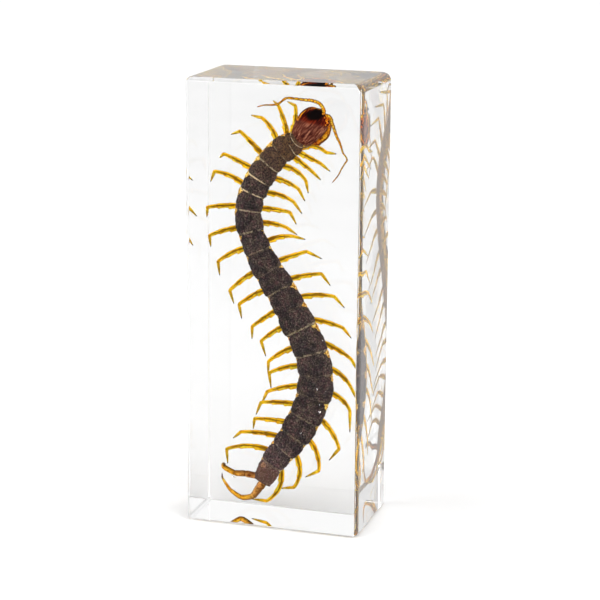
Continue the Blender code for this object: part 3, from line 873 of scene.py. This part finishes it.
# Golden skin of the flanks with brown spots
softLook = {
    "name": "amber_skin",
    "fine": (1.5, 4.0, 0.75),
    "base": [(0.4, (0.12, 0.035, 0.006)), (0.47, (0.42, 0.2, 0.025)), (0.55, (0.8, 0.52, 0.1)),
             (0.64, (0.95, 0.72, 0.28))],
    "bump": (0.4, 0.15), "rough": 0.5, "ior": 1.15,
    "glow": (0.4, (1.0, 0.6, 0.15), 1.0),  # how much light spreads inside, its reach by colour, and scale
}
bellyLook = {
    "name": "belly_cuticle",
    "fine": (2.0, 4.0, 0.65),
    "base": [(0.3, (0.08, 0.045, 0.02)), (0.55, (0.24, 0.14, 0.06)), (0.8, (0.36, 0.24, 0.11))],
    "bump": (0.3, 0.1), "rough": 0.5, "ior": 1.25,
}
# Red-brown shield with pale and dark streaks along it, dark red before a slanted line, black in the
# middle of that, and amber along the left rim, its own colour speckled with painted glints
headLook = {
    "name": "head_cuticle", "layers": ("along", "across", "rim"),
    "fine": (2.9, 4.0, 0.75),
    "grain": {"Scale": (9.0, 1.0, 1.0), "Rotation": (0.0, -math.atan2(headAlong[2], headAlong[0]), 0.0)},
    "base": [(0.37, (0.015, 0.002, 0.002)), (0.46, (0.075, 0.016, 0.01)),
             (0.55, (0.168, 0.05, 0.03)), (0.64, (0.43, 0.175, 0.098))],
    "eased": False,
    "washes": [
        ("MIX", [(0.42, (0.022, 0.001, 0.0003)), (0.6, (0.155, 0.012, 0.0015))], 0.95,
         ("front", 0.62, 0.74)),
        ("MIX", (0.002, 0.0004, 0.0003), 1.0, ("far", 1.7, 0.5)),
        # amber along the left rim: the rim's own colour, with painted glints where the noise is high
        ("MIX", (0.95, 0.34, 0.012), 1.0, ("rim", -0.76, -0.88), ("along", 0.4, 0.52), ("fine", 0.52, 0.6)),
    ],
    "slant": 0.0635,
    "black": ((0.93, 0.19), (-1.1, 1.75)),  # middle and reach, along the head in shares and across it
    "wander": 0.35, "blackWander": 4.0,  # that many times as far round the black patch
    "bump": (0.35, 0.1), "rough": 0.4, "ior": 1.06,
}


def headValues(tree, f, v):
    # front rises past the slanted line, and far from the black patch's middle
    wander = stray(tree, v["fine"], f["wander"])
    ahead = sums(tree, "SUBTRACT", v["along"], times(tree, v["across"], f["slant"]))
    far = times(tree, wander, f["blackWander"])
    for value, (middle, reach) in zip((ahead, v["across"]), f["black"]):
        share = sums(tree, "DIVIDE", sums(tree, "SUBTRACT", value, middle), reach)
        far = plus(tree, far, sums(tree, "POWER", share, 2.0))
    return {"front": plus(tree, ahead, wander), "far": far}


# Orange with painted shade along both edges, also beside the head shield, and a nearly black point
clawLook = {
    "name": "claw_cuticle", "layers": ("along", "side"),
    "fine": (1.8, 4.0, 0.7),
    "by": "point",
    "base": [(0.08, (0.2, 0.05, 0.01)), (0.26, (0.8, 0.27, 0.01)), (0.46, (1.0, 0.52, 0.03)),
             (0.7, (0.95, 0.4, 0.02)), (1.0, (0.02, 0.004, 0.002))],
    "washes": [
        ("MULTIPLY", [(0.4, (0.4, 0.2, 0.15)), (0.53, (1.05, 1.0, 1.0))], 1.0),
        # painted shade along both edges of the claw and in the gap beside the shield
        ("MIX", (0.07, 0.012, 0.002), 0.9, ("outside", 0.78, 0.98)),
    ],
    "wander": 0.3, "shift": 0.08, "mottle": 0.6,  # of the point's edge, and of the painted edge shade
    "bump": (0.2, 0.1), "rough": 0.35, "ior": 1.15,
    "glow": (0.7, (1.0, 0.8, 0.5), 0.5),
}


def clawValues(tree, f, v):
    side = sums(tree, "ABSOLUTE", plus(tree, v["side"], f["shift"]))
    return {"point": plus(tree, v["along"], stray(tree, v["fine"], f["wander"])),
            "outside": plus(tree, side, times(tree, v["fine"], f["mottle"]))}


# Golden beads with painted shade along both sides, brown at the joints, darker towards the tip
feelerLook = {
    "name": "feeler_cuticle", "layers": ("along", "side", "joint"),
    "fine": (1.8, 3.0),
    "base": [(0.4, (0.7, 0.22, 0.003)), (0.48, (1.0, 0.48, 0.008)), (0.58, (1.0, 0.74, 0.07))],
    "washes": [
        # painted shade along both sides of each bead
        ("MIX", (0.1, 0.028, 0.002), 0.95, ("sides", 0.88, 1.08)),
        ("MIX", (0.16, 0.05, 0.003), 0.75, ("joint",)),
        ("MULTIPLY", (0.66, 0.56, 0.4), 1.0, ("along", 0.45, 1.0)),
    ],
    "mottle": 0.7, "bump": (0.2, 0.06), "rough": 0.4, "ior": 1.12, "clear": 0.2,
    "glow": (0.7, (1.0, 0.9, 0.6), 0.3),
}


def feelerValues(tree, f, v):
    # sides: painted shade, strongest at both edges of the feeler
    return {"sides": plus(tree, v["side"], times(tree, v["fine"], f["mottle"]))}


# Clear yellow underside, a brown streak along the middle, amber above, painted shade along both edges of
# each leg, brown joints, olive feet and black claws
legLook = {
    "name": "leg_cuticle", "layers": ("count", "upper", "tone", "joint"),
    "fine": (1.5, 4.0, 0.65),
    "base": [(0.38, (1.0, 0.46, 0.002)), (0.46, (1.0, 0.61, 0.005)), (0.56, (1.0, 0.76, 0.05))],
    "washes": [
        ("MIX", (1.0, 0.6, 0.01), 1.0, ("wander", -0.2, 0.1)),
        ("MIX", (0.14, 0.034, 0.0003), 0.85, ("wander", -0.26, -0.16), ("wander", 0.58, 0.48),
         ("count", 1.15, 0.72)),
        # painted shade along both edges of each leg, where the round leg turns away from view
        ("MIX", (0.28, 0.11, 0.001), 0.35, ("outer", 0.9, 1.02)),
        ("MIX", (0.2, 0.065, 0.002), 0.5, ("joint",)),
        ("MULTIPLY", (0.62, 0.66, 0.9), 1.0, ("count", 0.9, 1.5)),
        ("MIX", (0.02, 0.012, 0.008), 1.0, ("count", 1.82, 1.9)),
    ],
    "fibres": (4.0, 1.5, 40.0),  # how fast they change along the leg, across it and from leg to leg
    "wander": 1.7, "shift": 0.05,
    "bump": (0.2, 0.08), "rough": 0.35, "ior": 1.1, "clear": 0.2,
    "glow": (0.5, (1.0, 0.9, 0.6), 0.3),
}


def legValues(tree, f, v):
    scaled = (times(tree, v[layer], rate) for layer, rate in zip(("count", "upper", "tone"), f["fibres"]))
    lengthways = addNode(tree, "CombineXYZ", dict(zip("XYZ", scaled))).outputs["Vector"]
    fibre = noise(tree, 1.0 * mm, 3.0, 0.5, lengthways)
    return {"wander": plus(tree, v["upper"], stray(tree, fibre, f["wander"])),
            # painted shade, strongest at both edges of the leg
            "outer": sums(tree, "ABSOLUTE", plus(tree, v["upper"], f["shift"]))}


# Mottled brown near the body, golden further out, darker above, painted shade along both edges, with a
# brown end and a black claw
lastLegLook = {
    "name": "last_leg_cuticle", "layers": ("upper", "count", "joint"),
    "fine": (1.4, 4.0, 0.7),
    "base": [(0.38, (0.15, 0.045, 0.008)), (0.48, (0.46, 0.19, 0.035)), (0.6, (0.8, 0.4, 0.09))],
    "washes": [
        ("MIX", [(0.38, (0.42, 0.15, 0.003)), (0.48, (0.85, 0.39, 0.008)), (0.6, (1.0, 0.64, 0.05))], 1.0,
         ("count", 0.2, 0.5)),
        ("MIX", (0.11, 0.026, 0.002), 0.7, ("above", 0.1, 0.7)),
        # painted shade along both edges of each leg
        ("MIX", (0.09, 0.026, 0.003), 0.8, ("outer", 0.74, 0.95)),
        ("MIX", (0.1, 0.03, 0.004), 0.5, ("joint",)),
        ("MIX", (0.16, 0.075, 0.022), 1.0, ("count", 0.82, 0.89)),
        ("MIX", (0.02, 0.012, 0.008), 1.0, ("count", 0.93, 0.98)),
    ],
    "wander": 2.0, "bump": (0.25, 0.1), "rough": 0.4, "ior": 1.15, "clear": 0.2,
    "glow": (0.7, (1.0, 0.9, 0.6), 0.3),
}


def lastLegValues(tree, f, v):
    return {"above": plus(tree, v["upper"], stray(tree, v["fine"], f["wander"])),
            # painted shade, strongest at both edges of the leg
            "outer": sums(tree, "ABSOLUTE", v["upper"])}


resin = {
    "ior": 1.56,
    "dimming": 3.2,  # share of light lost per metre for each unit of 1 - clear
    "clear": (0.01, 0.01, 0.0),
    "polish": 0.06,  # height of the top's polishing marks
    "polishRate": 0.16,  # marks per millimetre
    "polishStretch": (1.0, 2.2, 1.0),
    "polishAt": (0.4, 0.05),  # how far below the top they start and are full
}


def makeResinFinish(r):
    # Clear casting resin. Only the top shows faint polishing marks
    material, tree, shader = startMaterial("clear_resin")
    place = coordinates(tree)
    height = addNode(tree, "SeparateXYZ", {"Vector": place}).outputs["Z"]
    top = between(tree, height, *((block["high"] - below) * mm for below in r["polishAt"]))
    stretched = addNode(tree, "Mapping", {"Vector": place, "Scale": r["polishStretch"]})
    marks = noise(tree, r["polishRate"], 3.0, 0.5, stretched.outputs["Vector"])
    setInputs(tree, shader, {
        "Base Color": (1.0, 1.0, 1.0, 1.0), "Roughness": 0.0, "IOR": r["ior"], "Transmission Weight": 1.0,
        "Normal": bump(tree, times(tree, marks, top), 1.0, r["polish"]),
    })
    dimming = addNode(tree, "VolumeAbsorption", {
        "Color": (*r["clear"], 1.0), "Density": r["dimming"],
    })
    tree.links.new(dimming.outputs["Volume"], tree.nodes["Material Output"].inputs["Volume"])
    return material


airLook = {"pale": [(0.3, (0.85, 0.85, 0.86)), (0.7, (0.98, 0.98, 0.97))], "rough": 0.12}


def makeBubbleFinish(f):
    # Air in resin mirrors what stands round it, as bright metal does
    material, tree, shader = startMaterial("trapped_air")
    pale = ramp(tree, noise(tree, 3.0, 2.0), f["pale"])
    setInputs(tree, shader, {"Base Color": pale, "Metallic": 1.0, "Roughness": f["rough"]})
    return material


print("animal")
plateFinish = makeCuticle(plateLook, plateValues)
makeBackPlates(backPlates, plateFinish)
makeNeckFold(neck, plateFinish)
makeSoftBody(softBody, makeCuticle(softLook))
bellyFinish = makeCuticle(bellyLook)
makeBellyPlates(bellyPlates, bellyFinish)
makeHeadShield(head, makeCuticle(headLook, headValues))
clawFinish = makeCuticle(clawLook, clawValues)
makeClaws(claws, clawFinish)
makeBalls("brow_beads", browBeads, clawFinish, beadLayers)
makeJawPlate(jaw, bellyFinish)
makeFeelers(feelers, makeCuticle(feelerLook, feelerValues))
makeWalkingLegs(walkingLegs, makeCuticle(legLook, legValues))
makeLastLegs(lastLegs, makeCuticle(lastLegLook, lastLegValues))

print("resin")
makeBlock(block, makeResinFinish(resin))
makeBalls("air_bubbles", bubbles, makeBubbleFinish(airLook), None)


print("studio")
studio = {
    "floorSize": 8.0,  # metres
    "floorGap": 0.08,  # millimetres of air under the block
    "floorGreys": [(0.3, 0.73), (0.7, 0.75)],
    # brightness of the sky behind the block, by height of the direction
    "behind": [(0.0, 0.85), (0.2, 0.86), (0.3, 1.12), (0.4, 1.12), (0.55, 0.7), (0.72, 0.08)],
    # patches laid over that and over one another: brightness, and the fades that steer it, by the
    # direction's x, y and z. aside is x without its sign
    "patches": [
        (1.66, ("y", 0.45, -0.25)),  # on the viewer's side
        (1.0, ("z", 0.03, -0.05)),  # below the horizon
        (0.1, ("x", -0.02, -0.12), ("y", 0.4, 0.6), ("z", -0.06, -0.12)),  # there on the far left
        (0.82, ("y", -0.6, -0.8), ("z", 0.46, 0.38)),  # behind the viewer, up to half height
        # low on both sides of the viewer
        (15.0, ("aside", 0.5, 0.6), ("y", 0.0, -0.2), ("z", 0.02, 0.06), ("z", 0.34, 0.27)),
        (0.04, ("y", -0.1, -0.4), ("z", 0.04, -0.04)),  # the dark room under the viewer
    ],
    # soft boxes over the front left and close behind: place, tilt, size and brightness
    "boxes": [((-0.2, -0.5, 0.9), 18.0, 0.7, 0.2), ((0.11, 0.1, 0.4), 0.0, 0.25, 1.3)],
    "cycles": {"max_bounces": 24, "transmission_bounces": 24, "glossy_bounces": 16, "diffuse_bounces": 6,
               "caustics_reflective": True, "caustics_refractive": True, "blur_glossy": 0.0,
               "sample_clamp_indirect": 0.0},
}


def makeFloor(s):
    half = 0.5 * s["floorSize"]
    z = -s["floorGap"] * mm
    mesh = bpy.data.meshes.new("floor")
    corners = [(-half, -half, z), (half, -half, z), (half, half, z), (-half, half, z)]
    mesh.from_pydata(corners, [], [(0, 1, 2, 3)])
    floor = addObject("floor", mesh)
    material, tree, shader = startMaterial("pale_floor")
    pale = ramp(tree, noise(tree, 0.02, 2.0), s["floorGreys"])
    setInputs(tree, shader, {"Base Color": pale, "Roughness": 0.9, "IOR": 1.1})
    mesh.materials.append(material)
    floor.visible_glossy = False  # the polished faces mirror the dark room instead


def makeSky(s):
    # A white studio whose brightness depends on the direction: each patch goes over what is there as
    # level + share * (brightness - level)
    world = bpy.data.worlds.new("studio")
    scene.world = world
    world.use_nodes = True
    tree = world.node_tree
    direction = addNode(tree, "TexCoord").outputs["Generated"]
    split = addNode(tree, "SeparateXYZ", {"Vector": direction})
    axes = {axis: split.outputs[axis.upper()] for axis in "xyz"}
    axes["aside"] = sums(tree, "ABSOLUTE", axes["x"])
    level = ramp(tree, axes["z"], s["behind"], False)
    for brightness, *edges in s["patches"]:
        change = sums(tree, "SUBTRACT", brightness, level)
        level = plus(tree, level, times(tree, fades(tree, axes, edges), change))
    setInputs(tree, tree.nodes["Background"], {"Strength": level, "Color": (1.0, 1.0, 1.0, 1.0)})


def makeSoftBox(place, tilt, size, level):
    # A square light that faces down, tilted forwards
    light = bpy.data.lights.new("soft_box", "AREA")
    light.size = size
    light.energy = level * math.pi * size ** 2
    box = addObject("soft_box", light)
    box.location = place
    box.rotation_euler = (math.radians(tilt), 0.0, 0.0)


makeFloor(studio)
makeSky(studio)
for given in studio["boxes"]:
    makeSoftBox(*given)

scene.view_settings.view_transform = "Standard"
scene.view_settings.look = "None"
for setting, value in studio["cycles"].items():
    setattr(scene.cycles, setting, value)
